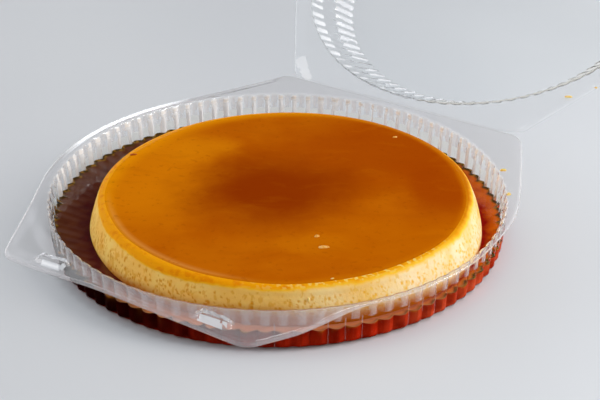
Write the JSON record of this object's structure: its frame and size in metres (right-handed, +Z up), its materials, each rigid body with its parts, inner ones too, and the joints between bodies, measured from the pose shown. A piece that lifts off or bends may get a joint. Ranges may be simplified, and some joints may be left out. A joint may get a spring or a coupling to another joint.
{
  "type": "leche flan in a clear hinged clamshell",
  "caption": "Round leche flan with a caramel top, turned out into its syrup in a clear fluted clamshell tray, with the hinged fluted lid standing open behind it.",
  "frame": {"origin": "centre of the tray's flat foot, on the table", "axes": "+Z up, +Y from the flan towards the hinge and the open lid, +X along the hinge"},
  "size_m": [0.254, 0.4743, 0.1321],
  "materials": {
    "tray_sheet": "clear, glossy formed sheet",
    "custard": "smooth baked custard under a wet caramel film",
    "caramel_syrup": "wet, glossy dark syrup",
    "lid_sheet": "clear, glossy formed sheet"
  },
  "bodies": {
    "tray": {"tray": "tray_sheet", "flan": "custard", "syrup": "caramel_syrup"},
    "lid": {"lid": "lid_sheet"}
  },
  "joints": [
    {"name": "lid_hinge", "type": "hinge", "parent": "tray", "child": "lid", "pos_m": [0, 0.1233, 0.0232], "axis": [1, 0, 0], "range_deg": [-20, 154]}
  ]
}
